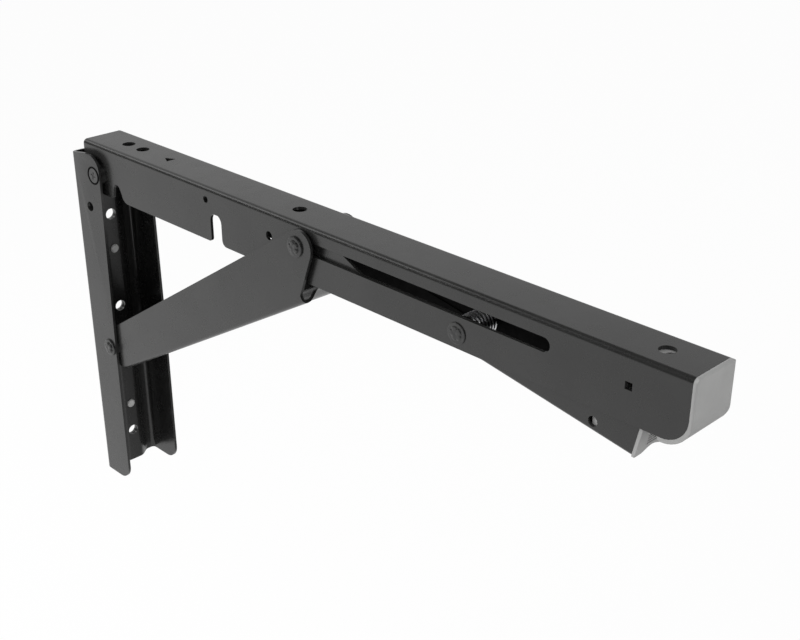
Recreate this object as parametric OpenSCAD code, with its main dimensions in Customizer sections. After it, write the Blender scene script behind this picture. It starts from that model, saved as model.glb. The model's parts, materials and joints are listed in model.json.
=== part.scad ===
// Folding shelf bracket: a wall rail, a hinged arm, a diagonal strut that slides
// in the arm's slot, and a sprung release lever inside the arm.
// X runs out from the wall, Y along the wall, Z up. The origin is the centre of
// the rail's top screw hole, on the front face of the rail's rib.
// The shelf lies on top of the arm. Everything is drawn with the shelf level.

/* [Arm] */
// Distance from the wall to the outer face of the arm's end cap
reach = 400; // [340:1:520]
// Outer width of the arm
arm_w = 25.3; // [22:0.1:32]
// Height of the arm's side walls, outside
arm_h = 28.1; // [26:0.1:34]
// Outer radius of the arm's two top bends
arm_bend = 2.4; // [1.8:0.1:3.5]
// Gap between the wall and the arm's inner end
arm_gap = 6.5; // [4:0.1:10]
// Radius of the arm's lower corner at the wall end
arm_heel_r = 10.5; // [6:0.1:11]
// Radius of the arm's lower corner at the free end
arm_toe_r = 11; // [6:0.1:13]
// Diameter of the screw holes in the arm's top
shelf_hole_d = 7; // [4:0.1:8]
// Distance of the first shelf screw hole from the wall
shelf_hole_x1 = 31.8; // [28:0.1:36]
// Distance of the second shelf screw hole from the wall
shelf_hole_x2 = 45; // [41:0.1:60]
// Distance of the third shelf screw hole from the wall
shelf_hole_x3 = 173.5; // [150:0.1:200]
// Distance of the outermost shelf screw hole from the arm's free end
shelf_hole_end = 19.5; // [16:0.1:30]
// Side of the small triangular cut in the arm's top
arrow_len = 5.6; // [3:0.1:8]
// Distance of the triangular cut from the wall
arrow_x = 65.2; // [55:0.1:90]
// Diameter of the first small hole in the arm's sides
side_hole_d1 = 3.6; // [2:0.1:5]
// Diameter of the second small hole in the arm's sides
side_hole_d2 = 4.4; // [2:0.1:6]
// Width of the small square hole near the arm's free end
square_hole = 3.3; // [1.5:0.1:7]
// Distance of the square hole from the arm's free end
square_hole_end = 26.5; // [24:0.1:30]
// Distance of the square hole below the shelf
square_hole_drop = 13; // [10:0.1:16]

/* [Sheet and fits] */
// Thickness of the rail, arm, strut and lever sheet
sheet = 1.5; // [1.2:0.05:2]
// Gap between the arm's sides and the strut's sides
strut_gap = 1.35; // [1.2:0.05:2.5]
// Gap between the strut's sides and the rail's flanges
rail_gap = 0.7; // [0.5:0.05:2]
// Gap between the lever's sides and the arm's sides
lever_gap = 0.5; // [0.3:0.05:1]
// Radial play of a pin in a part that turns on it
play = 0.05; // [0.02:0.01:0.1]
// Play at each face of a washer or spacer
face_play = 0.05; // [0.02:0.01:0.1]

/* [Wall rail] */
// Length of the rail
rail_len = 204; // [180:1:300]
// Depth of the rail's flanges, from the wall
rail_depth = 25.3; // [24:0.1:34]
// Distance of the rail's top end below the shelf
rail_drop = 5.5; // [3:0.1:12]
// How much lower the rail's top end is at the wall than at the front
rail_slope = 2; // [0:0.1:4]
// How far each flange's front edge leans in towards the arm at the rail's top end
rail_lean = 1.3; // [0:0.1:1.5]
// Outer radius of the rail's two bends
rail_bend = 3.8; // [2.5:0.1:4]
// Radius of the flanges' front corners
rail_corner = 9; // [2:0.1:10]
// Height of the raised rib down the middle of the rail
rib_h = 4.4; // [3:0.1:5.2]
// Half width of the rib's flat crest
rib_flat = 3.4; // [3.2:0.1:5]
// Half width of the rib at its foot
rib_foot = 11.8; // [10:0.1:12]
// Diameter of the wall screw holes
wall_hole_d = 6.4; // [4:0.1:6.6]
// Distance of the top wall hole below the shelf
wall_hole_z1 = 47.2; // [40:0.1:60]
// Distance of the middle wall hole below the shelf
wall_hole_z2 = 104.6; // [90:0.1:112]
// Distance of the bottom wall hole above the rail's lower end
wall_hole_low = 20.3; // [12:0.1:30]
// Distance of the upper buffer button below the shelf
button_z1 = 68.3; // [60:0.1:85]
// Distance of the lower buffer button above the rail's lower end
button_low = 39.1; // [32:0.1:50]
// Diameter of the buffer buttons
button_d = 5; // [4:0.1:6]
// Diameter of the side hole in the rail's flanges
lock_hole_d = 5.4; // [3:0.1:6]
// Distance of the side hole from the arm's pivot, towards the wall
lock_hole_in = 5.6; // [4:0.1:7]
// Distance of the side hole below the arm's pivot
lock_hole_drop = 19.1; // [17:0.1:22]

/* [Pivots] */
// Distance of the arm and strut pivots from the wall
pivot_x = 19.8; // [19:0.1:22]
// Distance of the arm pivot below the shelf
pivot_drop = 16.9; // [14:0.1:17.5]
// Distance between the arm pivot and the strut pivot
pivot_gap = 104; // [95:0.1:115]
// Diameter of the pivot pins in the rail
pin_d = 7; // [5:0.1:7.4]
// Width of the pivot pins' heads beyond the pin, all round
pin_head = 1.7; // [1:0.1:2]
// Height of the proud rivet heads on the strut and its wall pivot
head_up = 1.9; // [1.2:0.1:2.5]
// Wall thickness of the spacers and washers round the pins
washer_wall = 2.4; // [1.5:0.1:3]
// Diameter of the strut's sliding pin
slide_d = 6.2; // [5:0.1:7]
// Diameter of the lever's pivot pin
lever_pin_d = 6; // [4:0.1:7]
// Distance of the strut's sliding pin from the cap's face, with the arm up
slide_back = 212.2; // [200:0.1:225]
// Distance of the slot's centre line below the shelf
slot_drop = 10.3; // [9.5:0.1:10.8]
// Radial play of the sliding pin in the slot
slot_play = 0.1; // [0.05:0.01:0.2]
// Length of the slot left over when the arm is folded down
slot_spare = 6.6; // [2:0.1:12]

/* [Strut] */
// Depth of the strut below its axis at the wall pivot
strut_depth = 15; // [14:0.1:15.4]
// Angle between the strut's axis and its lower edge
strut_taper = 3.2; // [2:0.1:3.4]
// Outer radius of the strut's two lower bends
strut_bend = 2.6; // [2.2:0.1:4]
// Height of the rib in the strut's underside
strut_rib = 4.8; // [3.6:0.1:5]
// Half width of that rib's flat crest
strut_rib_flat = 2.8; // [2:0.1:3.4]
// Radius of the strut's end at the wall pivot
strut_tail_r = 9.6; // [7:0.1:11]
// Radius of the strut's end at the sliding pin
strut_head_r = 8.5; // [7:0.1:10]
// Distance from the sliding pin back to the end of the strut's underside
strut_open = 11.6; // [9:0.1:20]

/* [Lever] */
// Distance of the lever's pivot from the cap's face
lever_back = 113.9; // [105:0.1:120]
// Distance of the lever's pivot below the shelf
lever_drop = 21.2; // [20.5:0.1:21.4]
// Slope of the lever's lower edge with the lever at rest
lever_slope = 9.15; // [7:0.05:10]
// Distance from the lever's pivot back to where its lower edge leaves the arm
lever_exit = 3; // [2:0.1:18]
// Outer radius of the lever's two lower bends
lever_bend = 1.7; // [1.6:0.1:3]
// Distance of the lever's outer end from the cap's face
lever_short = 24.2; // [20:0.1:40]
// Diameter of the hole near the lever's outer end
lever_hole_d = 4.4; // [3:0.1:7]
// Distance of that hole from the lever's outer end
lever_hole_back = 20.2; // [16:0.1:30]
// Height of that hole above the lever's lower edge
lever_hole_up = 4.5; // [4:0.1:7]
// Length of the plastic grip inside the lever
grip_len = 21.4; // [10:0.1:24]
// Height of the finger arch in the grip's lower edge
grip_arch = 2; // [0.5:0.1:3]
// Thickness of the grip's end flange
grip_flange = 1.4; // [1:0.1:3]

/* [Spring and cap] */
// Wire diameter of the torsion spring
wire_d = 1.8; // [1.2:0.1:2]
// Number of turns of the torsion spring
turns = 7; // [4:1:7]
// Outer diameter of the spring
spring_d = 13; // [12:0.1:13.2]
// Thickness of the end cap's outer wall
cap_wall = 1.8; // [1.2:0.1:3]
// Radius of the end cap's rounded outer edges
cap_round = 1.2; // [0.6:0.1:3]
// Length of the end cap's plug inside the arm
cap_plug = 14; // [8:0.1:16]

/* [Hidden] */
$fn = 48;
eps = 0.01;
slide_x = reach - slide_back;
lever_x = reach - lever_back;
wall_x = -(rib_h + sheet);
shelf_z = wall_hole_z1;
arm_end = reach - cap_wall;
arm_in = arm_w / 2 - sheet;
strut_in = arm_w / 2 + strut_gap;
strut_out = strut_in + sheet;
rail_in = strut_out + rail_gap;
rail_out = rail_in + sheet;
lever_out = arm_in - lever_gap;
lever_in = lever_out - sheet;
lever_cut = lever_out - lever_bend - 0.2;
rail_end = rail_drop + rail_len;
wall_hole_z3 = rail_end - wall_hole_low;
button_z2 = rail_end - button_low;
strut_z = -(pivot_drop + pivot_gap);
lean_z = strut_z + pin_d / 2 + washer_wall + 1.1;
lean_out = atan(rail_lean / rail_depth);
lean_up = atan(rail_lean / (-rail_drop - lean_z) * cos(lean_out));
pin_r = pin_d / 2;
seat_r = min(pin_r + pin_head + 0.3, rail_depth - pivot_x - 0.35);
slide_r = slide_d / 2;
slot_r = slide_r + slot_play;
lever_r = lever_pin_d / 2;
slide_rise = pivot_drop - slot_drop;
strut_dx = slide_x - pivot_x;
strut_dz = pivot_gap + slide_rise;
strut_len = norm([strut_dx, strut_dz]);
strut_ang = atan2(strut_dz, strut_dx);
slide_out_x = pivot_x + pivot_gap + sqrt(pow(strut_len, 2) - pow(slide_rise, 2));
slot_end_x = slide_out_x + slot_spare;
notch_x = pivot_x + pivot_gap;
notch_r = pin_r + 0.85;
hook_x = pivot_x + 16.2;
strut_rib_foot = strut_out - strut_bend - sheet * 0.25;
lever_exit_x = lever_x - lever_exit;
lever_end_x = reach - lever_short;
hook_face = slide_x + slide_r + 0.4;
lever_web_x = slide_out_x - strut_open + 4.5;
head_h = strut_gap - 0.25;
steel = [0.13, 0.13, 0.13];
plastic = [0.62, 0.62, 0.62];
bright = [0.75, 0.75, 0.77];

// Points on an arc from angle a0 to a1
function arc(c, r, a0, a1, n = 8) = [for (i = [0:n]) c + r * [cos(a0 + (a1 - a0) * i / n), sin(a0 + (a1 - a0) * i / n)]];

// Height of a smooth rib across its width
function rib(y, h, flat, foot) = abs(y) <= flat ? h : abs(y) >= foot ? 0 : h * 0.5 * (1 + cos(180 * (abs(y) - flat) / (foot - flat)));

// Outline of a sheet of thickness t whose middle follows the points p
function unit(v) = v / norm(v);
function side_dir(p, i) = let (n = len(p), a = i > 0 ? unit(p[i] - p[i - 1]) : unit(p[1] - p[0]), b = i < n - 1 ? unit(p[i + 1] - p[i]) : a, m = unit(a + b), k = 1 / (m * a)) k * [-m[1], m[0]];
function sheet_outline(p, t) = concat([for (i = [0:len(p) - 1]) p[i] + side_dir(p, i) * t / 2], [for (i = [len(p) - 1:-1:0]) p[i] - side_dir(p, i) * t / 2]);

// Points beside a path at half the sheet's thickness, on its outer side for s = 1
function beside(p, s) = [for (i = [0:len(p) - 1]) p[i] + s * side_dir(p, i) * sheet / 2];

// U-shaped sheet seen from its end: half width w, wall height h, outer bend r, ribbed floor
function u_path(w, h, r, rh, rf, rt, n) = let (m = sheet / 2, half = concat([[w - m, h]], arc([w - r, r], r - m, 0, -90, 6), rh > 0 ? [for (i = [0:n]) let (y = rt - (rt - rf) * i / n) [y, m + rib(y, rh, rf, rt)]] : []), q = [for (i = [len(half) - 1:-1:0]) [-half[i][0], half[i][1]]]) concat(half, q);

// Extrude a shape drawn in X and Z across the width, from y0 to y1
module across(y0, y1) translate([0, y1, 0]) rotate([90, 0, 0]) linear_extrude(y1 - y0) children();

// Extrude a shape drawn in Y and Z outwards, from x0 to x1
module along(x0, x1) translate([x0, 0, 0]) rotate([90, 0, 90]) linear_extrude(x1 - x0) children();

// Round bar across the width at a point of X and Z
module bar(p, r, y0, y1) translate([p[0], y1, p[1]]) rotate([90, 0, 0]) cylinder(r = r, h = y1 - y0);

// The drawings below use the wall as X = 0 and the shelf as Z = 0
module place() translate([wall_x, 0, shelf_z]) children();

module both_sides() {
    children();
    mirror([0, 1, 0]) children();
}

a_pt = [pivot_x, -pivot_drop];
b_pt = [pivot_x, strut_z];
c_pt = [slide_x, -slot_drop];
d_pt = [lever_x, -lever_drop];

// Stand a shape drawn with depth over width upright, from z0 to z1
module stand(z0, z1) translate([0, 0, z0]) linear_extrude(z1 - z0) rotate(-90) mirror([1, 0]) children();

// All that lies inwards of the near flange's leaning face: it leans from the flange's root at the rail's top
// end and from its front edge just above the strut's pivot, and is most at the top front corner
module leaning_side(d) translate([0, d - rail_out, -rail_drop]) rotate([-lean_up, 0, lean_out]) translate([-30, 0, -rail_len - 40]) cube([100, 6 * rail_out, rail_len + 80]);

// All that lies inside the rail's outer faces for s = 1, or its inner faces for s = -1
module rail_body(h, s) intersection() {
    stand(-rail_end - 1, 1) polygon(beside(u_path(rail_out, h, rail_bend, rib_h, rib_flat, rib_foot, 8), s));
    leaning_side((1 - s) / 2 * sheet);
    mirror([0, 1, 0]) leaning_side((1 - s) / 2 * sheet);
}

// How far a flange has leant in, by distance from the wall and height
function lean(x, z) = rail_lean * max(0, x / rail_depth - (-rail_drop - z) / (-rail_drop - lean_z));

module wall_rail() color(steel) place() difference() {
    intersection() {
        rail_body(rail_depth + 2, 1);
        across(-rail_out - 1, rail_out + 1) polygon(concat([[-1, -rail_end]], arc([rail_depth - rail_corner, -rail_end + rail_corner], rail_corner, -90, 0), arc([rail_depth - rail_corner, -rail_drop - rail_corner], rail_corner, 0, 90), [[rail_depth / 2, -rail_drop], [-1, -rail_drop - rail_slope]]));
    }
    rail_body(rail_depth + 4, -1);
    bar(a_pt, pin_r, -rail_out - 1, rail_out + 1);
    bar(b_pt, pin_r, -rail_out - 1, rail_out + 1);
    // shallow seats of the arm pivot's flush heads
    both_sides() bar(a_pt, seat_r, -rail_out - 1, -rail_out + lean(pivot_x, -pivot_drop) + 0.45);
    bar([pivot_x - lock_hole_in, -pivot_drop - lock_hole_drop], lock_hole_d / 2, -rail_out - 1, rail_out + 1);
    for (z = [wall_hole_z1, wall_hole_z2, wall_hole_z3]) translate([rib_h - 1, 0, -z]) rotate([0, 90, 0]) cylinder(d = wall_hole_d, h = sheet + 2);
    for (z = [button_z1, button_z2]) translate([rib_h - 1, 0, -z]) rotate([0, 90, 0]) cylinder(d = button_d * 0.6, h = sheet + 2);
}

module button(z) color(plastic) place() translate([rib_h - 0.8, 0, -z]) rotate([0, 90, 0]) {
    cylinder(d = button_d * 0.6, h = sheet + 0.8);
    translate([0, 0, sheet + 0.8]) cylinder(d = button_d, h = 0.5);
    translate([0, 0, sheet + 1.3]) cylinder(d1 = button_d, d2 = button_d - 1, h = 0.5);
}

module rail_button_upper() button(button_z1);

module rail_button_lower() button(button_z2);

// Flush head: a disc in the flange's seat with a cross pressed into it
module arm_pivot_pin() color(steel) place() {
    y = rail_out - lean(pivot_x, -pivot_drop);
    bar(a_pt, pin_r, -y + 0.45, y - 0.45);
    both_sides() difference() {
        bar(a_pt, seat_r - 0.25, -y, -y + 0.45);
        translate([a_pt[0], -y, a_pt[1]]) for (t = [15, 105]) rotate([0, t, 0]) cube([pin_d * 0.6, 0.5, 0.9], center = true);
    }
}

// Round head that stands out of a side face at y: a flat collar, then a crowned button with dents struck round its top
module rivet_head(p, y, r, h, collar, dents) difference() {
    translate([p[0], y, p[1]]) rotate([90, 0, 0]) rotate_extrude() polygon([[0, 0], [r, 0], [r, collar * 0.6], [r - collar * 0.4, collar], [r * 0.84, collar], [r * 0.8, h * 0.72], [r * 0.68, h * 0.92], [r * 0.5, h], [0, h]]);
    for (i = [1:dents]) rotate_about(p, 360 * i / dents + 25) translate([p[0] + r * 0.62, y - h - r * 0.12, p[1]]) sphere(r = r * 0.24);
}

module rotate_about(p, a) translate([p[0], 0, p[1]]) rotate([0, a, 0]) translate([-p[0], 0, -p[1]]) children();

module strut_pivot_pin() color(steel) place() {
    bar(b_pt, pin_r, -rail_out, rail_out);
    both_sides() rivet_head(b_pt, -rail_out, pin_r + pin_head - 0.2, head_up, 0.8, 4);
}

function arm_side() = concat(
    [[arm_end, 0], [arm_gap, 0]],
    arc([arm_gap + arm_heel_r, -arm_h + arm_heel_r], arm_heel_r, 180, 270),
    arc([hook_x - 6, -arm_h + 1.6], 1.6, 270, 360, 4),
    arc([hook_x - 0.2, -pivot_drop - 5.6], 3.2, 170, 20, 8),
    arc([hook_x + 9.2, -arm_h + 5.2], 5.2, 190, 270, 6),
    arc([notch_x - notch_r - 1.8, -arm_h + 1.8], 1.8, 270, 360, 4),
    arc([notch_x, -pivot_drop], notch_r, 180, 0, 12),
    arc([notch_x + notch_r + 3.2, -arm_h + 3.2], 3.2, 180, 270, 5),
    arc([arm_end - arm_toe_r, -arm_h - 0.2 + arm_toe_r], arm_toe_r, 270, 360, 10)
);

module arm_channel() color(steel) place() difference() {
    intersection() {
        along(arm_gap - 1, arm_end + 1) mirror([0, 1]) polygon(sheet_outline(u_path(arm_w / 2, arm_h + 2, arm_bend, 0, 0, 0, 1), sheet));
        across(-arm_w / 2 - 1, arm_w / 2 + 1) polygon(arm_side());
    }
    bar(a_pt, pin_r + play, -arm_w, arm_w);
    bar(d_pt, lever_r, -arm_w, arm_w);
    across(-arm_w, arm_w) polygon(concat(arc(c_pt, slot_r, 90, 270, 12), arc([slot_end_x, -slot_drop], slot_r, -90, 90, 12)));
    bar([notch_x - 7.4, -pivot_drop + 10.3], side_hole_d1 / 2, -arm_w, arm_w);
    bar([notch_x + (slide_x - notch_x) * 0.648, -slot_drop - 1.8], side_hole_d2 / 2, -arm_w, arm_w);
    across(-arm_w, arm_w) translate([arm_end - square_hole_end, -square_hole_drop]) square(square_hole, center = true);
    for (x = [shelf_hole_x1, shelf_hole_x2, shelf_hole_x3, arm_end - shelf_hole_end]) translate([x, 0, -sheet - 1]) cylinder(d = shelf_hole_d, h = sheet + 2);
    translate([arrow_x, 0, -sheet - 1]) linear_extrude(sheet + 2) polygon([[0, 0], [arrow_len, arrow_len / 2], [arrow_len, -arrow_len / 2]]);
}

module ring(p, ro, ri, y0, y1) difference() {
    bar(p, ro, y0, y1);
    bar(p, ri, y0 - 1, y1 + 1);
}

// Spacers that reach the leaning flanges
spacer_y = rail_in - lean(pivot_x + pin_r + washer_wall, -pivot_drop + pin_r + washer_wall) - face_play;

module arm_spacer_near() color(steel) place() ring(a_pt, pin_r + washer_wall, pin_r + play, -spacer_y, -arm_w / 2);

module arm_spacer_far() color(steel) place() ring(a_pt, pin_r + washer_wall, pin_r + play, arm_w / 2, spacer_y);

module end_cap() color(plastic) place() {
    // outer shell that closes the arm's end, wraps round its lower corner and has rounded outer edges
    intersection() {
        across(-arm_w / 2, arm_w / 2) polygon(concat(
            [[arm_end, 0]],
            arc([reach - cap_round, -cap_round], cap_round, 90, 0, 5),
            arc([arm_end - arm_toe_r, -arm_h - 0.2 + arm_toe_r], arm_toe_r + cap_wall, 0, -90, 12),
            [[arm_end - arm_toe_r - 1.2, -arm_h - 0.2 - cap_wall + 0.5], [arm_end - arm_toe_r - 1.6, -arm_h - 0.2]],
            arc([arm_end - arm_toe_r, -arm_h - 0.2 + arm_toe_r], arm_toe_r, -90, 0, 10)
        ));
        along(arm_end - arm_toe_r - 5, reach + 1) polygon(concat(arc([arm_w / 2 - arm_bend, -arm_bend], arm_bend, 0, 90, 5), arc([arm_bend - arm_w / 2, -arm_bend], arm_bend, 90, 180, 5), [[-arm_w / 2, -arm_h - 10], [arm_w / 2, -arm_h - 10]]));
        translate([0, 0, -arm_h - 10]) linear_extrude(arm_h + 12) polygon(concat([[arm_end - arm_toe_r - 5, arm_w / 2]], arc([reach - cap_round, arm_w / 2 - cap_round], cap_round, 90, 0, 5), arc([reach - cap_round, cap_round - arm_w / 2], cap_round, 0, -90, 5), [[arm_end - arm_toe_r - 5, -arm_w / 2]]));
    }
    // plug inside the arm
    difference() {
        intersection() {
            translate([arm_end - cap_plug, -arm_in + 0.1, -arm_h - 1]) cube([cap_plug + 0.5, 2 * arm_in - 0.2, arm_h + 1 - sheet - 0.2]);
            across(-arm_w, arm_w) polygon(concat([[arm_end + 0.5, 0], [arm_end - cap_plug, 0], [arm_end - cap_plug, -arm_h - 0.2]], arc([arm_end - arm_toe_r, -arm_h - 0.2 + arm_toe_r], arm_toe_r + 0.5, 270, 360, 10)));
        }
        translate([arm_end - cap_plug - 1, -arm_in + 1.7, -arm_h - 2]) cube([cap_plug - 0.5, 2 * arm_in - 3.4, arm_h - sheet - 1]);
    }
}

module lever_pivot_pin() color(steel) place() {
    bar(d_pt, lever_r, -arm_w / 2, arm_w / 2);
    both_sides() rivet_head(d_pt, -arm_w / 2, lever_r + 1.9, head_h, 0.35, 3);
}

module lever_washer_near() color(steel) place() ring(d_pt, lever_r + washer_wall, lever_r, -arm_in, -lever_out - face_play);

module lever_washer_far() color(steel) place() ring(d_pt, lever_r + washer_wall, lever_r, lever_out + face_play, arm_in);

module spring_sleeve() color(steel) place() ring(d_pt, spring_d / 2 - wire_d - 0.25, lever_r, -lever_in + 0.2, lever_in - 0.2);

// Torsion spring: a coil round the sleeve, one leg up to the arm's top, one out along the lever
coil_r = (spring_d - wire_d) / 2;
coil_pitch = (2 * lever_cut - 1.4 - wire_d) / turns;
coil_y0 = -coil_pitch * turns / 2;
leg_up = lever_drop - sheet - wire_d / 2 - 0.1;
leg_up_a = acos(coil_r / norm([leg_up, coil_r + 9]));
leg_out = lever_web_x + 7 - lever_x;
// height of the lever's floor above its lower edge, where the outer leg ends
leg_out_z = lever_drop - arm_h - tan(lever_slope) * (leg_out + lever_x - lever_exit_x) + (sheet + wire_d / 2 + 0.2) / cos(lever_slope);
coil_steps = 20;
coil_n = coil_steps * turns;
function coil_pt(i) = let (a = 180 + 360 * i / coil_steps) [coil_r * cos(a), coil_y0 + coil_pitch * i / coil_steps, coil_r * sin(a)];
spring_pts = concat(
    [[-coil_r - 6.5, coil_y0, leg_up], [-coil_r - 3.4, coil_y0, leg_up - 0.4], [-coil_r - 0.9, coil_y0, leg_up - 3.2], [-coil_r, coil_y0, leg_up * 0.35]],
    [for (i = [0:coil_n + floor(coil_steps / 4) - 1]) coil_pt(i)],
    [[coil_r * 0.35, coil_y0 + coil_pitch * (turns + 0.25), -coil_r], [leg_out * 0.6, coil_y0 + coil_pitch * (turns + 0.25), (leg_out_z - coil_r) * 0.5 - 0.2], [leg_out, coil_y0 + coil_pitch * (turns + 0.25), leg_out_z]]
);
function tan_at(p, i) = unit(i == 0 ? p[1] - p[0] : i == len(p) - 1 ? p[i] - p[i - 1] : unit(p[i + 1] - p[i]) + unit(p[i] - p[i - 1]));
function wire_ring(p, i, r, n) = let (t = tan_at(p, i), u = unit(cross(t, [0, 1, 0.001])), v = cross(t, u)) [for (k = [0:n - 1]) p[i] + r * (cos(360 * k / n) * u + sin(360 * k / n) * v)];
wire_n = 8;

module torsion_spring() color(bright) place() translate([d_pt[0], 0, d_pt[1]]) {
    p = spring_pts;
    m = len(p);
    polyhedron(
        points = [for (i = [0:m - 1]) each wire_ring(p, i, wire_d / 2, wire_n)],
        faces = concat(
            [[for (k = [0:wire_n - 1]) k]],
            [for (i = [0:m - 2]) for (k = [0:wire_n - 1]) [i * wire_n + k, (i + 1) * wire_n + k, (i + 1) * wire_n + (k + 1) % wire_n, i * wire_n + (k + 1) % wire_n]],
            [[for (k = [wire_n - 1:-1:0]) (m - 1) * wire_n + k]]
        )
    );
}

// Side outline of the strut: u along its axis from the wall pivot, v above the axis
strut_end_u = strut_len - strut_open;
function strut_side() = concat(
    arc([0, 0], strut_tail_r, 92, 235, 14),
    [[0.3, -strut_depth + 1.4], [1, -strut_depth + 0.4], [2.2, -strut_depth - 0.1]],
    [[4, -strut_depth - 6], [strut_end_u, -strut_depth - strut_len * tan(strut_taper) - 6], [strut_end_u, -strut_depth - 6.3]],
    arc([strut_len + 1.7, -1.1], strut_head_r, -53, 91, 14)
);

module strut_channel() color(steel) place() translate([b_pt[0], 0, b_pt[1]]) rotate([0, -strut_ang, 0]) difference() {
    intersection() {
        translate([0, 0, -strut_depth]) rotate([0, strut_taper, 0]) along(-20, strut_len + 20) polygon(sheet_outline(u_path(strut_out, 60, strut_bend, strut_rib, strut_rib_flat, strut_rib_foot, 7), sheet));
        across(-strut_out - 1, strut_out + 1) polygon(strut_side());
    }
    bar([0, 0], pin_r + play, -strut_out - 1, strut_out + 1);
    bar([strut_len, 0], slide_r, -strut_out - 1, strut_out + 1);
}

module strut_rivet() {
    bar(c_pt, slide_r, -strut_out, -strut_in);
    rivet_head(c_pt, -strut_out, slide_r + 1.9, head_up, 0.7, 3);
}

module strut_rivet_near() color(steel) place() strut_rivet();

module strut_rivet_far() color(steel) place() mirror([0, 1, 0]) strut_rivet();

module strut_washer_near() color(steel) place() ring(b_pt, pin_r + washer_wall, pin_r + play, -rail_in + face_play, -strut_out);

module strut_washer_far() color(steel) place() ring(b_pt, pin_r + washer_wall, pin_r + play, strut_out, rail_in - face_play);

// Pin end that slides in the arm's slot, with a collar between the arm and the strut
module slot_stud() {
    bar(c_pt, slide_r, -strut_in + 0.1, -lever_out - 0.1);
    bar(c_pt, slide_r + 1.1, -strut_in + 0.1, -arm_w / 2 - 0.1);
}

module slot_stud_near() color(steel) place() slot_stud();

module slot_stud_far() color(steel) place() mirror([0, 1, 0]) slot_stud();

// Height of the lever's lower edge at a distance from the wall
function lever_low(x) = -arm_h - tan(lever_slope) * (x - lever_exit_x);
// Height of the lever's upper edge outwards of its pivot
function lever_top(x) = -lever_drop + 6.9 - tan(lever_slope) * (x - lever_x - 8);
function lever_side() = [
    [hook_face, -17],
    [hook_face, -sheet - 0.3],
    [hook_face + 7, -sheet - 0.3],
    [hook_face + 16.7, -5],
    [hook_face + 35.4, -14.1],
    [lever_x + 8, -lever_drop + 6.9],
    [lever_end_x + 1.6, lever_top(lever_end_x)],
    [lever_end_x - 1.6, lever_low(lever_end_x - 1.6)],
    [lever_exit_x, -arm_h],
    [lever_exit_x - 4, -arm_h + 0.4]
];

lever_hole = [lever_end_x - lever_hole_back, lever_low(lever_end_x - lever_hole_back) + lever_hole_up];

module release_lever() color(steel) place() difference() {
    intersection() {
        translate([lever_exit_x, 0, -arm_h]) rotate([0, lever_slope, 0]) along(hook_face - lever_exit_x - 20, lever_end_x - lever_exit_x + 20) polygon(sheet_outline(u_path(lever_out, arm_h + 12, lever_bend, 0, 0, 0, 1), sheet));
        across(-lever_out - 1, lever_out + 1) polygon(lever_side());
    }
    // the floor stays only outwards of the strut's folded end
    translate([hook_face - 10, -lever_cut, -60]) cube([lever_web_x - hook_face + 10, 2 * lever_cut, 60]);
    // grip's seat
    translate([lever_end_x - 4, -lever_cut, -60]) cube([12, 2 * lever_cut, 60]);
    bar(d_pt, lever_r + play, -arm_w, arm_w);
    bar(lever_hole, lever_hole_d / 2, -arm_w, arm_w);
}

// Plastic grip in the lever's outer end, with a finger arch below and a ribbed pocket
function grip_low(x) = lever_low(x) + (sheet + 0.1) / cos(lever_slope);
grip_tilt = atan2(3.2, lever_top(lever_end_x) - lever_low(lever_end_x - 1.6));
module lever_grip() color(plastic) place() difference() {
    union() {
        across(-lever_in + 0.02, lever_in - 0.02) polygon([
            [lever_end_x - grip_len, grip_low(lever_end_x - grip_len)],
            [lever_end_x - 1.2, grip_low(lever_end_x - 1.2)],
            [lever_end_x + 1.6, lever_top(lever_end_x)],
            [lever_end_x - grip_len, lever_top(lever_end_x - grip_len)]
        ]);
        // lip in the lever's seat
        across(-lever_cut + 0.1, lever_cut - 0.1) polygon([
            [lever_end_x - 3.9, lever_low(lever_end_x - 3.9)],
            [lever_end_x - 1.2, lever_low(lever_end_x - 1.2)],
            [lever_end_x - 0.4, grip_low(lever_end_x) + 1],
            [lever_end_x - 3.9, grip_low(lever_end_x - 3.9) + 1]
        ]);
        across(-lever_out, lever_out) polygon([
            [lever_end_x - 1.6, lever_low(lever_end_x - 1.6)],
            [lever_end_x - 1.6 + grip_flange, lever_low(lever_end_x - 1.6) - 0.1],
            [lever_end_x + 1.6 + grip_flange, lever_top(lever_end_x)],
            [lever_end_x + 1.6, lever_top(lever_end_x)]
        ]);
    }
    // finger arch
    along(lever_end_x - 6, lever_end_x + 6) polygon(concat([[arch_half, -arm_h - 40], [-arch_half, -arm_h - 40]], [for (i = [0:14]) let (y = -arch_half + 2 * arch_half * i / 14) [y, lever_low(lever_end_x) + grip_arch * (1 + cos(180 * y / arch_half)) / 2]]));
    // ribbed pocket in the end face
    translate([lever_end_x - 1.6 + grip_flange, 0, lever_low(lever_end_x - 1.6)]) rotate([0, grip_tilt, 0]) for (i = [0:8]) translate([-0.7, -lever_in * 0.46, 3.4 + i * 1.3]) cube([2, lever_in * 0.92, 0.75]);
}
arch_half = lever_in * 0.86;

wall_rail();
rail_button_upper();
rail_button_lower();
arm_pivot_pin();
strut_pivot_pin();
arm_channel();
arm_spacer_near();
arm_spacer_far();
end_cap();
lever_pivot_pin();
lever_washer_near();
lever_washer_far();
spring_sleeve();
torsion_spring();
strut_channel();
strut_rivet_near();
strut_rivet_far();
strut_washer_near();
strut_washer_far();
slot_stud_near();
slot_stud_far();
release_lever();
lever_grip();
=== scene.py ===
"""Looks of the folding shelf bracket: soft sheet edges, coats, plastics, rivet heads, sprung coil, studio and camera."""

import json
import math

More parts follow.
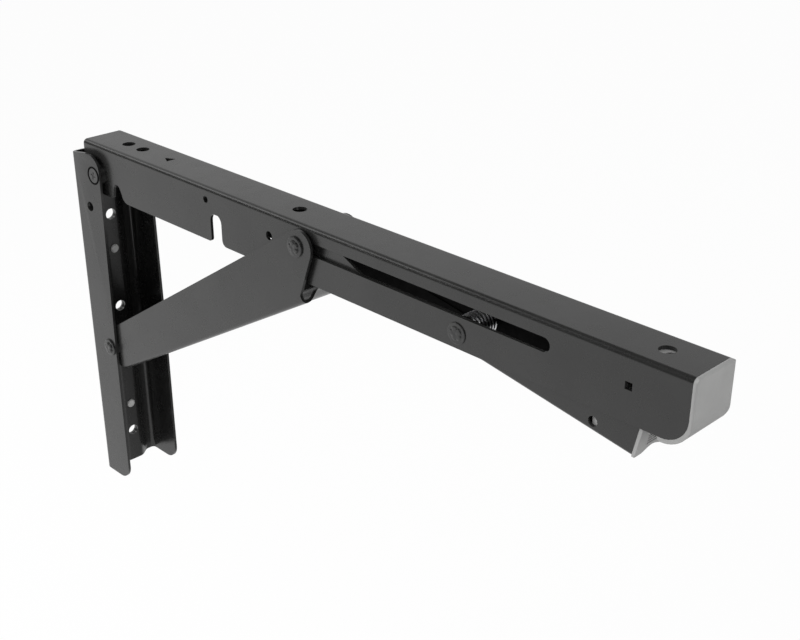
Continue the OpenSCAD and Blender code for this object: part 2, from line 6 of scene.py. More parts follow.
import bmesh
import bpy
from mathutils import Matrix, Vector


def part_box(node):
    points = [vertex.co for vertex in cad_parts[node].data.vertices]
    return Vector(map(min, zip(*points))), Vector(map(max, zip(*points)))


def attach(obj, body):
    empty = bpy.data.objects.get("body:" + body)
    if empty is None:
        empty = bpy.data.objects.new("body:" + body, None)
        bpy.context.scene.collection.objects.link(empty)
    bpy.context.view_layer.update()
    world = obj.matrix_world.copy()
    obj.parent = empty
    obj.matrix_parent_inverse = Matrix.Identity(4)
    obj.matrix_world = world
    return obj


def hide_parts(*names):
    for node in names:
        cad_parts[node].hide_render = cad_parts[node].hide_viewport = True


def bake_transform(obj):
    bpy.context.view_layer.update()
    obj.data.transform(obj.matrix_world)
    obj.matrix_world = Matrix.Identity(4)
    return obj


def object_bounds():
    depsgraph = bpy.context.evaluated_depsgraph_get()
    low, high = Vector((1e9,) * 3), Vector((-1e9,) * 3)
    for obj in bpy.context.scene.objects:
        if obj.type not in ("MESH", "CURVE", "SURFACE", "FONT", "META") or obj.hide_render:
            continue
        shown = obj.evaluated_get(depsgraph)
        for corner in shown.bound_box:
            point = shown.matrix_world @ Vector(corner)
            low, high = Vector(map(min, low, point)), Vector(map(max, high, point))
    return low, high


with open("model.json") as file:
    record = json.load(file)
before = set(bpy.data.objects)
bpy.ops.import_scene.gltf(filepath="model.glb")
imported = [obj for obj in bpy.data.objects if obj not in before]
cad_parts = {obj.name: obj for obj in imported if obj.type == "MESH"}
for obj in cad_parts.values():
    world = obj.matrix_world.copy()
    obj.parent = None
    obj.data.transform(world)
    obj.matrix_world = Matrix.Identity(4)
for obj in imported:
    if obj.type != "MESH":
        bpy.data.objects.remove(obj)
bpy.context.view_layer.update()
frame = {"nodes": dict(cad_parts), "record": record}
MM = 0.001

# ---------------------------------------------------------------- sizes that the solids have, in millimetres
# the wall and the shelf's underside, from the frame's origin
WALL_X = -5.9
SHELF_Z = 47.2
# pivots, each by its distance from the wall and its height over the shelf's underside
ARM_PIVOT = (19.8, -16.9)
STRUT_PIVOT = (19.8, -120.9)
SLIDE_PIVOT = (187.8, -10.3)
LEVER_PIVOT = (286.1, -21.2)
# the sheet, and half the width of each channel over its sides
SHEET = 1.5
RAIL_HALF = 17.7
STRUT_HALF = 15.5
ARM_HALF = 12.65
LEVER_HALF = 10.65
# each pin's shank radius, head radius and head height
STRUT_PIN = (3.5, 5.0, 1.9)
LEVER_PIN = (3.0, 4.9, 1.1)
SLIDE_RIVET = (3.1, 5.0, 1.9)


def at(point, y=0.0):
    """A point given by its distance from the wall and its height over the shelf, in metres in the frame."""
    return Vector(((point[0] + WALL_X) * MM, y * MM, (point[1] + SHELF_Z) * MM))


def stand(name, data):
    """An object with this mesh, curve, lamp or camera, in the scene."""
    obj = bpy.data.objects.new(name, data)
    bpy.context.scene.collection.objects.link(obj)
    return obj


# ---------------------------------------------------------------- shapes built from rows of corners
def ring(shape, count, corner):
    """One closed row of corners: corner(turn) gives the place of each."""
    return [shape.verts.new(corner(2.0 * math.pi * k / count)) for k in range(count)]


def skin(shape, rows):
    """Faces between each row of corners and the next."""
    for row, after in zip(rows, rows[1:]):
        for k in range(len(row)):
            following = (k + 1) % len(row)
            shape.faces.new((row[k], row[following], after[following], after[k]))


def shade_smooth(mesh, sharp):
    """Smooth shading, with edges over this many degrees kept sharp."""
    mesh.polygons.foreach_set("use_smooth", [True] * len(mesh.polygons))
    mesh.set_sharp_from_angle(angle=math.radians(sharp))


def made_mesh(shape, name):
    mesh = bpy.data.meshes.new(name)
    shape.to_mesh(mesh)
    shape.free()
    return mesh


# ---------------------------------------------------------------- camera
def place_camera():
    data = bpy.data.cameras.new("camera")
    data.sensor_width = 36.0
    data.lens = 56.67
    data.clip_start = 0.01
    data.clip_end = 20.0
    camera = stand("camera", data)
    camera.location = (0.5951, -0.3574, 0.2541)
    camera.rotation_euler = (math.radians(64.538), 0.0, math.radians(45.275))
    bpy.context.scene.camera = camera


place_camera()


# ---------------------------------------------------------------- materials
class Shading:
    """A material's node tree, with short words for the nodes that these finishes use."""

    def __init__(self, name):
        self.material = bpy.data.materials.new(name)
        self.material.use_nodes = True
        self.nodes = self.material.node_tree.nodes
        self.links = self.material.node_tree.links
        self.shader = self.nodes["Principled BSDF"]
        self.place = self.nodes.new("ShaderNodeTexCoord").outputs["Object"]

    def noise(self, scale, detail):
        node = self.nodes.new("ShaderNodeTexNoise")
        node.inputs["Scale"].default_value = scale
        node.inputs["Detail"].default_value = detail
        node.inputs["Roughness"].default_value = 0.55
        self.links.new(self.place, node.inputs["Vector"])
        return node.outputs["Fac"]

    def ramp(self, value, *stops):
        node = self.nodes.new("ShaderNodeValToRGB")
        for element, (position, colour) in zip(node.color_ramp.elements, stops):
            element.position = position
            element.color = tuple(colour) + (1.0,)
        self.links.new(value, node.inputs["Fac"])
        return node.outputs["Color"]

    def spread(self, value, low, high):
        """The middle of the noise's range, spread from low to high."""
        node = self.nodes.new("ShaderNodeMapRange")
        for name, number in (("From Min", 0.3), ("From Max", 0.7), ("To Min", low), ("To Max", high)):
            node.inputs[name].default_value = number
        self.links.new(value, node.inputs["Value"])
        return node.outputs["Result"]

    def bump(self, height, strength, depth, under=None):
        node = self.nodes.new("ShaderNodeBump")
        node.inputs["Strength"].default_value = strength
        node.inputs["Distance"].default_value = depth
        self.links.new(height, node.inputs["Height"])
        if under is not None:
            self.links.new(under, node.inputs["Normal"])
        return node.outputs["Normal"]

    def give(self, socket, value):
        self.links.new(value, self.shader.inputs[socket])

    def fix(self, **values):
        for name, value in values.items():
            self.shader.inputs[name].default_value = value


def black_coat():
    """Satin black powder coat: fine orange peel, faint unevenness of colour and gloss."""
    s = Shading("black_coat")
    patches = s.noise(38.0, 4.0)
    s.give("Base Color", s.ramp(patches, (0.3, (0.0150, 0.0150, 0.0147)), (0.7, (0.0205, 0.0205, 0.0200))))
    s.give("Roughness", s.spread(s.noise(160.0, 3.0), 0.235, 0.285))
    peel = s.bump(s.noise(1500.0, 2.0), 0.07, 0.00004)
    s.give("Normal", s.bump(s.noise(420.0, 2.0), 0.03, 0.00008, peel))
    s.fix(IOR=1.5)
    return s.material


def painted_shade_coat():
    """Painted shade inside the channels: a dull, rough film whose colour is far darker than the coat, standing in for
    the shade there.
    """
    s = Shading("painted_shade_coat")
    patches = s.noise(60.0, 4.0)
    s.give("Base Color", s.ramp(patches, (0.3, (0.0016, 0.0016, 0.0016)), (0.7, (0.0032, 0.0032, 0.0031))))
    s.give("Roughness", s.spread(s.noise(300.0, 3.0), 0.82, 0.95))
    s.give("Normal", s.bump(s.noise(900.0, 2.0), 0.2, 0.0001))
    s.fix(IOR=1.2)
    return s.material


def black_rivet():
    """Coated rivet heads, a little smoother and rubbed lighter in places."""
    s = Shading("black_rivet")
    rubbed = s.noise(420.0, 4.0)
    s.give("Base Color", s.ramp(rubbed, (0.45, (0.014, 0.014, 0.014)), (0.75, (0.030, 0.030, 0.029))))
    s.give("Roughness", s.spread(s.noise(600.0, 3.0), 0.16, 0.24))
    s.give("Normal", s.bump(s.noise(900.0, 3.0), 0.12, 0.00006))
    return s.material


def moulded_grey(name, level):
    """Light grey moulded plastic with a fine spark-eroded grain."""
    s = Shading(name)
    dark = (0.95 * level, 0.95 * level, 0.94 * level)
    light = (1.06 * level, 1.06 * level, 1.05 * level)
    s.give("Base Color", s.ramp(s.noise(55.0, 3.0), (0.3, dark), (0.7, light)))
    s.give("Roughness", s.spread(s.noise(240.0, 3.0), 0.46, 0.56))
    s.give("Normal", s.bump(s.noise(2400.0, 3.0), 0.22, 0.00006))
    s.fix(IOR=1.46)
    return s.material


def spring_wire():
    """Bright drawn wire, with faint lines and a trace of oil."""
    s = Shading("spring_wire")
    oil = s.noise(500.0, 3.0)
    s.give("Base Color", s.ramp(oil, (0.35, (0.52, 0.52, 0.53)), (0.65, (0.62, 0.62, 0.63))))
    s.give("Roughness", s.spread(s.noise(900.0, 2.0), 0.26, 0.32))
    s.give("Normal", s.bump(s.noise(1600.0, 2.0), 0.08, 0.00003))
    s.fix(Metallic=1.0)
    return s.material


FINISH = {
    "black_steel": black_coat(),
    "black_pin": black_rivet(),
    "grey_plastic": moulded_grey("moulded_grey", 0.33),
    "spring_steel": spring_wire(),
}
# the near-black painted shade, for the insides of channels and for dark pieces set where there is shade
PAINTED_SHADE_COAT = painted_shade_coat()
# the buffers' plastic: the cap's grey plastic made lighter, as painted light against the shade inside the rail
LIGHTENED_BUTTON_PLASTIC = moulded_grey("moulded_buffer_painted_lighter", 0.53)
# solids whose finish differs from the one that the record's list gives
OWN_FINISH = {
    "rail_button_upper": LIGHTENED_BUTTON_PLASTIC,
    "rail_button_lower": LIGHTENED_BUTTON_PLASTIC,
    # the sleeve inside the coil takes the near-black painted shade
    "spring_sleeve": PAINTED_SHADE_COAT,
}


# ---------------------------------------------------------------- Geometry Nodes: what every tree here shares
def open_tree(name, **inputs):
    """An empty tree with a geometry input and output, and the named inputs of the given kinds."""
    tree = bpy.data.node_groups.new(name, "GeometryNodeTree")
    face = tree.interface
    face.new_socket("Geometry", in_out="INPUT", socket_type="NodeSocketGeometry")
    for socket, kind in inputs.items():
        face.new_socket(socket.replace("_", " "), in_out="INPUT", socket_type="NodeSocket" + kind)
    face.new_socket("Geometry", in_out="OUTPUT", socket_type="NodeSocketGeometry")
    return tree, tree.nodes.new("NodeGroupInput"), tree.nodes.new("NodeGroupOutput")


def close_tree(tree, made, geometry, material, chosen=None):
    """End a tree: real geometry, with the material on the chosen faces or on all."""
    real = tree.nodes.new("GeometryNodeRealizeInstances")
    coated = tree.nodes.new("GeometryNodeSetMaterial")
    coated.inputs["Material"].default_value = material
    if chosen is not None:
        tree.links.new(chosen, coated.inputs["Selection"])
    tree.links.new(geometry, real.inputs["Geometry"])
    tree.links.new(real.outputs["Geometry"], coated.inputs["Geometry"])
    tree.links.new(coated.outputs["Geometry"], made.inputs["Geometry"])
    return tree


def grow(obj, name, tree, values):
    """Put a tree on an object, with its named inputs set by their sockets' identifiers."""
    modifier = obj.modifiers.new(name, "NODES")
    modifier.node_group = tree
    for item in tree.interface.items_tree:
        if item.in_out == "INPUT" and item.name in values:
            modifier[item.identifier] = values[item.name]


def frozen(obj):
    """The plain mesh that an object's tree makes; the object itself is taken away."""
    mesh = bpy.data.meshes.new_from_object(obj.evaluated_get(bpy.context.evaluated_depsgraph_get()))
    bpy.data.objects.remove(obj)
    return mesh


# ---------------------------------------------------------------- the solids: finish and softly rounded edges
EDGE_MM = {
    "wall_rail": 0.32, "arm_channel": 0.32, "strut_channel": 0.5, "release_lever": 0.30,
    "end_cap": 0.9, "lever_grip": 0.30,
}
# how far past a channel's inner faces the painted shade reaches, in millimetres
SHADE_REACH = 0.01
# half width and top of each channel's inside, where the faces take painted shade, in millimetres in the frame
INSIDE = {
    "arm_channel": (ARM_HALF - SHEET + SHADE_REACH, SHELF_Z - SHEET + SHADE_REACH),
    "release_lever": (LEVER_HALF - SHEET + SHADE_REACH, SHELF_Z),
}


def round_edges(obj, width, segments, angle):
    rounded = obj.modifiers.new("rounded", "BEVEL")
    rounded.width = width * MM
    rounded.segments = segments
    rounded.limit_method = "ANGLE"
    rounded.angle_limit = math.radians(angle)
    return rounded


def soften_edges(obj, width):
    """Join the solid's loose faces, merge flat neighbours, then round each sharp edge a little."""
    join = obj.modifiers.new("join", "WELD")
    join.merge_threshold = 0.004 * MM
    flat = obj.modifiers.new("flat", "DECIMATE")
    flat.decimate_type = "DISSOLVE"
    flat.angle_limit = math.radians(0.6)
    rounded = round_edges(obj, width, 3, 32.0)
    rounded.harden_normals = False
    rounded.use_clamp_overlap = True
    smooth = obj.modifiers.new("even", "WEIGHTED_NORMAL")
    smooth.keep_sharp = False


def inside_tree(shade_paint):
    """The faces between a channel's inner sides and under its inner top take the near-black painted shade."""
    tree, given, made = open_tree("painted_inside_shade", Half_width="Float", Top="Float")
    add, link = tree.nodes.new, tree.links.new
    place = add("ShaderNodeSeparateXYZ")
    side, between, under, both = (add("ShaderNodeMath") for _ in range(4))
    side.operation = "ABSOLUTE"
    between.operation = under.operation = "LESS_THAN"
    both.operation = "MULTIPLY"
    link(add("GeometryNodeInputPosition").outputs[0], place.inputs[0])
    link(place.outputs["Y"], side.inputs[0])
    link(side.outputs[0], between.inputs[0])
    link(given.outputs["Half width"], between.inputs[1])
    link(place.outputs["Z"], under.inputs[0])
    link(given.outputs["Top"], under.inputs[1])
    link(between.outputs[0], both.inputs[0])
    link(under.outputs[0], both.inputs[1])
    return close_tree(tree, made, given.outputs["Geometry"], shade_paint, both.outputs[0])


def dress_solids():
    listed = {part["node"]: part["material_slot"] for part in frame["record"]["subparts"]}
    # the insides of the arm and the lever are painted darker, as shade
    shade_paint = inside_tree(PAINTED_SHADE_COAT)
    for name, obj in frame["nodes"].items():
        obj.data.materials.clear()
        obj.data.materials.append(OWN_FINISH.get(name, FINISH[listed.get(name, "black_steel")]))
        if name in EDGE_MM:
            soften_edges(obj, EDGE_MM[name])
        if name in INSIDE:
            half_width, top = INSIDE[name]
            grow(obj, "inside", shade_paint, {"Half width": half_width * MM, "Top": top * MM})


dress_solids()

# ---------------------------------------------------------------- the sprung coil, in millimetres
COIL_R = 5.5
COIL_WIDTH = 13.2
TURNS = 7
STEPS_PER_TURN = 48
WIRE_R = 0.5
WIRE_STEP = 0.35
WIRE_SIDES = 14
LEG_UP = 18.7


def wire_tree(material):
    """A round wire along the curve that it is given."""
    tree, given, made = open_tree("round_wire", Wire_radius="Float", Step="Float", Sides="Int")
    add, link = tree.nodes.new, tree.links.new
    even = add("GeometryNodeResampleCurve")
    even.mode = "LENGTH"
    section = add("GeometryNodeCurvePrimitiveCircle")
    swept = add("GeometryNodeCurveToMesh")
    swept.inputs["Fill Caps"].default_value = True
    smooth = add("GeometryNodeSetShadeSmooth")
    link(given.outputs["Geometry"], even.inputs["Curve"])
    link(given.outputs["Step"], even.inputs["Length"])
    link(given.outputs["Sides"], section.inputs["Resolution"])
    link(given.outputs["Wire radius"], section.inputs["Radius"])
    link(even.outputs["Curve"], swept.inputs["Curve"])
    link(section.outputs["Curve"], swept.inputs["Profile Curve"])
    link(swept.outputs["Mesh"], smooth.inputs["Geometry"])
    return close_tree(tree, made, smooth.outputs["Geometry"], material)


def coil_path():
    """The wire's middle line about its pivot: down from the arm's top, round the sleeve, out along the lever."""
    low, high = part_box("torsion_spring")
    out_x = high[0] / MM - LEVER_PIVOT[0] - WALL_X - 0.3
    out_z = low[2] / MM - LEVER_PIVOT[1] - SHELF_Z + WIRE_R
    half = COIL_WIDTH / 2
    arm_leg = [
        (-COIL_R + 7.5, half, LEG_UP), (-COIL_R + 3.0, half, LEG_UP - 0.2),
        (-COIL_R + 0.8, half, LEG_UP - 2.4), (-COIL_R, half, LEG_UP * 0.4),
    ]
    coil = []
    last = int(STEPS_PER_TURN * (TURNS + 0.25))
    for k in range(last + 1):
        turn = math.pi + 2.0 * math.pi * k / STEPS_PER_TURN
        coil.append((COIL_R * math.cos(turn), half - COIL_WIDTH * k / last, COIL_R * math.sin(turn)))
    lever_leg = [
        (COIL_R * 0.4, -half, -COIL_R), (out_x * 0.6, -half, (out_z - COIL_R) * 0.5), (out_x, -half, out_z),
    ]
    return [at(LEVER_PIVOT) + Vector(point) * MM for point in arm_leg + coil + lever_leg]


def wind_spring():
    line = bpy.data.curves.new("spring_line", "CURVE")
    line.dimensions = "3D"
    spline = line.splines.new("POLY")
    points = coil_path()
    spline.points.add(len(points) - 1)
    for given, point in zip(spline.points, points):
        given.co = (*point, 1.0)
    wire = stand("spring_line", line)
    sizes = {"Wire radius": WIRE_R * MM, "Step": WIRE_STEP * MM, "Sides": WIRE_SIDES}
    grow(wire, "wire", wire_tree(FINISH["spring_steel"]), sizes)
    coil = stand("spring_coil", frozen(wire))
    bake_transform(coil)
    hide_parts("torsion_spring")


wind_spring()

# ---------------------------------------------------------------- turned pins with stepped heads
# a head of radius 1 and height 1, from its rim to near its middle: radius, height
HEAD_RINGS = (
    (1.0, 0.0), (1.0, 0.36), (0.985, 0.43), (0.95, 0.48), (0.90, 0.50), (0.73, 0.51), (0.69, 0.53), (0.67, 0.57),
    (0.655, 0.82), (0.635, 0.90), (0.59, 0.95), (0.50, 0.985), (0.30, 1.0), (0.16, 0.97), (0.08, 0.92),
)
HEAD_SIDES = 60
HEAD_MIDDLE = 0.90
DENTS = 5
DENT_IN = 0.075
DENT_DOWN = 0.16


def head_form():
    """A rivet head on z = 0: a flat collar, and a struck crown with dents in its rim."""
    shape = bmesh.new()
    rows = []
    for radius, height in HEAD_RINGS:

        def corner(turn):
            dent = (0.5 + 0.5 * math.cos(DENTS * turn)) ** 4
            r = radius - (DENT_IN * dent if 0.55 < radius < 0.71 else 0.0)
            h = height - (DENT_DOWN * dent if 0.45 < radius < 0.66 else 0.0)
            return r * math.cos(turn), r * math.sin(turn), h

        rows.append(ring(shape, HEAD_SIDES, corner))
    skin(shape, rows)
    top = shape.verts.new((0.0, 0.0, HEAD_MIDDLE))
    foot = shape.verts.new((0.0, 0.0, 0.0))
    inner, rim = rows[-1], rows[0]
    for k in range(HEAD_SIDES):
        following = (k + 1) % HEAD_SIDES
        shape.faces.new((inner[k], inner[following], top))
        shape.faces.new((rim[following], rim[k], foot))
    return bpy.data.objects.new("head_form", made_mesh(shape, "head_form"))


def pin_tree(form, material):
    """A round shank along each edge, and a head on each point that has one, turned to face outwards."""
    tree, given, made = open_tree("turned_pin", Shank_radius="Float", Head_radius="Float", Head_height="Float")
    add, link = tree.nodes.new, tree.links.new
    axis = add("GeometryNodeMeshToCurve")
    section = add("GeometryNodeCurvePrimitiveCircle")
    section.inputs["Resolution"].default_value = 48
    shank = add("GeometryNodeCurveToMesh")
    shank.inputs["Fill Caps"].default_value = True
    head = add("GeometryNodeObjectInfo")
    head.inputs["Object"].default_value = form
    headed = add("GeometryNodeInputNamedAttribute")
    headed.data_type = "FLOAT"
    headed.inputs["Name"].default_value = "facing"
    outward = add("ShaderNodeCombineXYZ")
    turned = add("FunctionNodeAlignRotationToVector")
    turned.axis = "Z"
    one_side = add("ShaderNodeMath")
    one_side.operation = "ABSOLUTE"
    size = add("ShaderNodeCombineXYZ")
    placed = add("GeometryNodeInstanceOnPoints")
    joined = add("GeometryNodeJoinGeometry")
    link(given.outputs["Geometry"], axis.inputs["Mesh"])
    link(given.outputs["Shank radius"], section.inputs["Radius"])
    link(axis.outputs["Curve"], shank.inputs["Curve"])
    link(section.outputs["Curve"], shank.inputs["Profile Curve"])
    link(headed.outputs["Attribute"], outward.inputs["Y"])
    link(outward.outputs["Vector"], turned.inputs["Vector"])
    link(headed.outputs["Attribute"], one_side.inputs[0])
    link(given.outputs["Head radius"], size.inputs["X"])
    link(given.outputs["Head radius"], size.inputs["Y"])
    link(given.outputs["Head height"], size.inputs["Z"])
    link(given.outputs["Geometry"], placed.inputs["Points"])
    link(one_side.outputs["Value"], placed.inputs["Selection"])
    link(head.outputs["Geometry"], placed.inputs["Instance"])
    link(turned.outputs["Rotation"], placed.inputs["Rotation"])
    link(size.outputs["Vector"], placed.inputs["Scale"])
    link(shank.outputs["Mesh"], joined.inputs["Geometry"])
    link(placed.outputs["Instances"], joined.inputs["Geometry"])
    return close_tree(tree, made, joined.outputs["Geometry"], material)


def turn_pin(name, body, nodes, spans, size, tree):
    """One pin or pair of rivets on a body. spans: place, then y and facing of one end and of the other."""
    line = bpy.data.meshes.new(name + "_line")
    ends, edges, facing = [], [], []
    for place, first, first_way, second, second_way in spans:
        edges.append((len(ends), len(ends) + 1))
        ends += [at(place, first), at(place, second)]
        facing += [float(first_way), float(second_way)]
    line.from_pydata(ends, edges, [])
    line.attributes.new("facing", "FLOAT", "POINT").data.foreach_set("value", facing)
    core = stand(name + "_line", line)
    shank, head, height = (value * MM for value in size)
    grow(core, "pin", tree, {"Shank radius": shank, "Head radius": head, "Head height": height})
    mesh = frozen(core)
    shade_smooth(mesh, 38.0)
    pin = stand(name, mesh)
    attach(pin, body)
    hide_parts(*nodes)


def turn_pins():
    tree = pin_tree(head_form(), FINISH["black_pin"])
    through_rail = [(STRUT_PIVOT, -RAIL_HALF, -1, RAIL_HALF, 1)]
    through_arm = [(LEVER_PIVOT, -ARM_HALF, -1, ARM_HALF, 1)]
    inner = STRUT_HALF - SHEET
    through_strut = [(SLIDE_PIVOT, -STRUT_HALF, -1, -inner, 0), (SLIDE_PIVOT, inner, 0, STRUT_HALF, 1)]
    turn_pin("strut_pin", "rail", ["strut_pivot_pin"], through_rail, STRUT_PIN, tree)
    turn_pin("lever_pin", "arm", ["lever_pivot_pin"], through_arm, LEVER_PIN, tree)
    turn_pin("slide_rivets", "strut", ["strut_rivet_near", "strut_rivet_far"], through_strut, SLIDE_RIVET, tree)


turn_pins()


# ---------------------------------------------------------------- turned rings on the rail
def ring_piece(name, shape, finish):
    """A finished piece of the rail from a shape of closed rings."""
    bmesh.ops.recalc_face_normals(shape, faces=shape.faces)
    mesh = made_mesh(shape, name)
    shade_smooth(mesh, 50.0)
    mesh.materials.append(finish)
    piece = stand(name, mesh)
    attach(piece, "rail")


# a near-black ring of painted shadow between a flush head and its seat: radius, height over the head's face
SHADOW_RING_SECTION = ((4.0, -0.04), (4.12, 0.02), (4.55, 0.04), (5.0, 0.02), (5.12, -0.04), (5.12, -0.29), (4.0, -0.29))
# the sheet drawn backwards into the rib's hollow round a screw hole: radius, depth behind the rib's face
RIM_SECTION = (
    (3.2, -1.35), (3.2, -3.0), (3.32, -3.18), (3.55, -3.25), (3.95, -3.25), (4.12, -3.1), (4.15, -2.2), (4.35, -1.35),
)


def pivot_grooves():
    """A near-black ring of painted shadow round each flush head of the arm's pivot, on both sides of the rail."""
    low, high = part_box("arm_pivot_pin")
    shape = bmesh.new()
    for face_y, way in ((low[1] / MM, -1.0), (high[1] / MM, 1.0)):
        rows = []
        for r, proud in SHADOW_RING_SECTION:

            def corner(turn):
                place = (ARM_PIVOT[0] + r * math.cos(turn), ARM_PIVOT[1] + r * math.sin(turn))
                return at(place, face_y + way * proud)

            rows.append(ring(shape, 64, corner))
        skin(shape, rows + rows[:1])
    ring_piece("pivot_grooves", shape, PAINTED_SHADE_COAT)


def wall_hole_rims():
    """A short collar behind each of the three screw holes."""
    shape = bmesh.new()
    for mount in frame["record"]["mounts"]:
        if not mount["name"].startswith("wall_hole"):
            continue
        centre = Vector(mount["pos_m"])
        rows = []
        for r, depth in RIM_SECTION:

            def corner(turn):
                return centre + Vector((depth, r * math.cos(turn), r * math.sin(turn))) * MM

            rows.append(ring(shape, 56, corner))
        skin(shape, rows + rows[:1])
    ring_piece("wall_hole_rims", shape, FINISH["black_steel"])


pivot_grooves()
wall_hole_rims()

# ---------------------------------------------------------------- the cap's tongue under the arm's last hole
# in millimetres: where it starts and ends from the wall, its half width, its inner corners, its top and underside
# below the shelf, and its hole's middle and radius
TONGUE_BASE, TONGUE_TIP = 386.0, 366.5
TONGUE_HALF = 7.6
TONGUE_CORNER = 2.4
TONGUE_TOP, TONGUE_UNDERSIDE = -1.7, -4.2
TONGUE_HOLE_X, TONGUE_HOLE_R = 380.5, 2.6


def tongue_outline():
    middle, side = TONGUE_TIP + TONGUE_CORNER, TONGUE_HALF - TONGUE_CORNER
    rim = [(TONGUE_BASE, -TONGUE_HALF), (TONGUE_BASE, TONGUE_HALF)]
    for first_angle, y in ((90, side), (180, -side)):
        for turn in range(0, 91, 15):
            a = math.radians(first_angle + turn)
            rim.append((middle + TONGUE_CORNER * math.cos(a), y + TONGUE_CORNER * math.sin(a)))
    return rim


def cap_tongue():
    """A thin plate under the sheet, with rounded inner corners and a round hole that clears a screw."""
    shape = bmesh.new()
    levels = []
    for level in (TONGUE_TOP, TONGUE_UNDERSIDE):

        def corner(turn):
            return at((TONGUE_HOLE_X + TONGUE_HOLE_R * math.cos(turn), level), TONGUE_HOLE_R * math.sin(turn))

        outer = [shape.verts.new(at((x, level), y)) for x, y in tongue_outline()]
        inner = ring(shape, 48, corner)
        edges = [
            shape.edges.new((row[k], row[(k + 1) % len(row)])) for row in (outer, inner) for k in range(len(row))
        ]
        bmesh.ops.triangle_fill(shape, use_beauty=True, use_dissolve=False, edges=edges)
        levels.append((outer, inner))
    for above, below in zip(*levels):
        skin(shape, [above, below])
    bmesh.ops.recalc_face_normals(shape, faces=shape.faces)
    mesh = made_mesh(shape, "cap_tongue")
    mesh.materials.append(FINISH["grey_plastic"])
    tongue = stand("cap_tongue", mesh)
    round_edges(tongue, 0.25, 2, 40.0)
    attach(tongue, "arm")


cap_tongue()

# ---------------------------------------------------------------- studio
# plain light from all round, and how much of the floor's colour is plain white to the camera and in gloss
WORLD = 0.45
FLOOR_WHITE = 0.96
FLOOR_HALF = 4.0
# what gloss sees: the room's walls, and in some directions a ceiling, the dark front, a soft box, a panel and a side;
# each has its direction, the cosines between which it fades in, and its level
ROOM = 0.71
ROOM_PARTS = (
    ((0.0, 0.0, 1.0), 0.64, 0.74, 0.06),
    ((0.25, -0.97, 0.0), -0.05, 0.20, 0.08),
    ((-0.74, -0.36, 0.565), 0.975, 0.99, 2.4),
    ((0.45, -0.57, 0.61), 0.95, 0.985, 3.0),
    ((0.80, 0.58, 0.15), 0.84, 0.92, 0.05),
)
# the part of the floor that the rail's front mirrors is dimmer in gloss: metres between which it fades, and its level
FLOOR_PATCH = (("X", 0.06, 0.20), ("X", 0.88, 0.72), ("Y", 0.08, 0.22), ("Y", 0.98, 0.82))
FLOOR_DIM = 0.35
# name, place, aim, side in metres and power in watts
LAMPS = (
    ("key", (-0.52, -0.68, 0.42), (0.04, 0.0, -0.02), 0.5, 11.0),
    ("top", (0.1, 0.25, 1.1), (0.15, 0.0, 0.0), 0.9, 1.5),
    ("side", (1.1, -0.15, 0.35), (0.2, 0.0, 0.0), 0.6, 3.0),
)


class Studio:
    """A world's or floor's node tree, with short words for the nodes that light it."""

    def __init__(self, owner):
        owner.use_nodes = True
        self.nodes = owner.node_tree.nodes
        self.links = owner.node_tree.links
        self.path = self.nodes.new("ShaderNodeLightPath").outputs

    def worked(self, operation, first, second):
        node = self.nodes.new("ShaderNodeMath")
        node.operation = operation
        self.links.new(first, node.inputs[0])
        self.links.new(second, node.inputs[1])
        return node.outputs[0]

    def fade(self, value, low, high):
        """0 to 1, softly, as a value goes from low to high."""
        node = self.nodes.new("ShaderNodeMapRange")
        node.interpolation_type = "SMOOTHSTEP"
        node.inputs["From Min"].default_value = low
        node.inputs["From Max"].default_value = high
        self.links.new(value, node.inputs["Value"])
        return node.outputs["Result"]

    def facing(self, place, direction):
        """The cosine of the angle between a ray and a direction."""
        node = self.nodes.new("ShaderNodeVectorMath")
        node.operation = "DOT_PRODUCT"
        node.inputs[1].default_value = Vector(direction).normalized()
        self.links.new(place, node.inputs[0])
        return node.outputs["Value"]

    def mixed(self, share, under, over):
        node = self.nodes.new("ShaderNodeMixShader")
        self.links.new(share, node.inputs["Fac"])
        self.links.new(under, node.inputs[1])
        self.links.new(over, node.inputs[2])
        return node.outputs[0]

    def glow(self, kind, strength=1.0):
        """White light of this strength, from a Background or an Emission node."""
        node = self.nodes.new("ShaderNode" + kind)
        node.inputs["Color"].default_value = (1.0, 1.0, 1.0, 1.0)
        node.inputs["Strength"].default_value = strength
        return node

    def shown(self):
        """1 for rays that see the background itself: from the camera, or through something clear."""
        return self.worked("MAXIMUM", self.path["Is Camera Ray"], self.path["Is Transmission Ray"])


def light_world():
    """Plain even light. Gloss sees a white room with a dim ceiling and front, a soft box and a bright panel."""
    world = bpy.data.worlds.new("world")
    bpy.context.scene.world = world
    s = Studio(world)
    place = s.nodes.new("ShaderNodeTexCoord").outputs["Generated"]
    gloss = s.glow("Background", ROOM)
    tone = None
    for direction, low, high, level in ROOM_PARTS:
        mix = s.nodes.new("ShaderNodeMix")
        mix.data_type = "FLOAT"
        mix.inputs["A"].default_value = ROOM
        mix.inputs["B"].default_value = level
        s.links.new(s.fade(s.facing(place, direction), low, high), mix.inputs["Factor"])
        if tone is not None:
            s.links.new(tone, mix.inputs["A"])
        tone = mix.outputs["Result"]
    s.links.new(tone, gloss.inputs["Strength"])
    even = s.glow("Background", WORLD)
    white = s.glow("Background")
    lit = s.mixed(s.path["Is Glossy Ray"], even.outputs[0], gloss.outputs[0])
    seen = s.mixed(s.shown(), lit, white.outputs[0])
    s.links.new(seen, s.nodes["World Output"].inputs["Surface"])


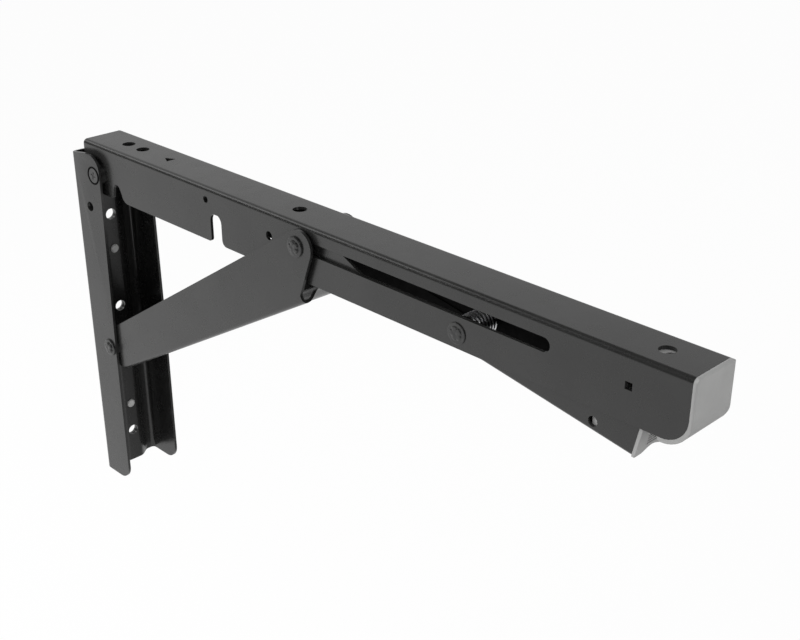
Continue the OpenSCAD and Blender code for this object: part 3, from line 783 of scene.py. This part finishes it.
def lay_floor():
    """A plain pale floor, just below the arm's end when the arm hangs straight down."""
    pivot = at(ARM_PIVOT)
    low = pivot[2] - (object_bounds()[1][0] - pivot[0]) - 4.0 * MM
    corners = [(x * FLOOR_HALF, y * FLOOR_HALF, low) for x, y in ((-1, -1), (1, -1), (1, 1), (-1, 1))]
    mesh = bpy.data.meshes.new("floor")
    mesh.from_pydata(corners, [], [(0, 1, 2, 3)])
    material = bpy.data.materials.new("pale_floor")
    s = Studio(material)
    plain = s.nodes["Principled BSDF"]
    plain.inputs["Base Color"].default_value = (0.8, 0.8, 0.8, 1.0)
    plain.inputs["Roughness"].default_value = 0.9
    place = s.nodes.new("ShaderNodeSeparateXYZ")
    s.links.new(s.nodes.new("ShaderNodeTexCoord").outputs["Object"], place.inputs[0])
    dim = s.path["Is Glossy Ray"]
    for axis, start, end in FLOOR_PATCH:
        dim = s.worked("MULTIPLY", dim, s.fade(place.outputs[axis], start, end))
    level = s.nodes.new("ShaderNodeMapRange")
    level.inputs["To Min"].default_value = 1.0
    level.inputs["To Max"].default_value = FLOOR_DIM
    s.links.new(dim, level.inputs["Value"])
    white = s.glow("Emission")
    s.links.new(level.outputs["Result"], white.inputs["Strength"])
    share = s.nodes.new("ShaderNodeMath")
    share.operation = "MULTIPLY"
    share.inputs[1].default_value = FLOOR_WHITE
    s.links.new(s.worked("MAXIMUM", s.shown(), s.path["Is Glossy Ray"]), share.inputs[0])
    surface = s.mixed(share.outputs[0], plain.outputs[0], white.outputs[0])
    s.links.new(surface, s.nodes["Material Output"].inputs["Surface"])
    mesh.materials.append(material)
    stand("floor", mesh)


def hang_lamps():
    """Soft square lamps, which gloss doesn't see."""
    for name, place, aim, side, power in LAMPS:
        data = bpy.data.lights.new(name, "AREA")
        data.shape = "RECTANGLE"
        data.size = data.size_y = side
        data.energy = power
        lamp = stand(name, data)
        lamp.location = place
        lamp.rotation_euler = (Vector(aim) - Vector(place)).to_track_quat("-Z", "Y").to_euler()
        lamp.visible_glossy = False


light_world()
lay_floor()
hang_lamps()
bpy.context.scene.view_settings.view_transform = "Standard"
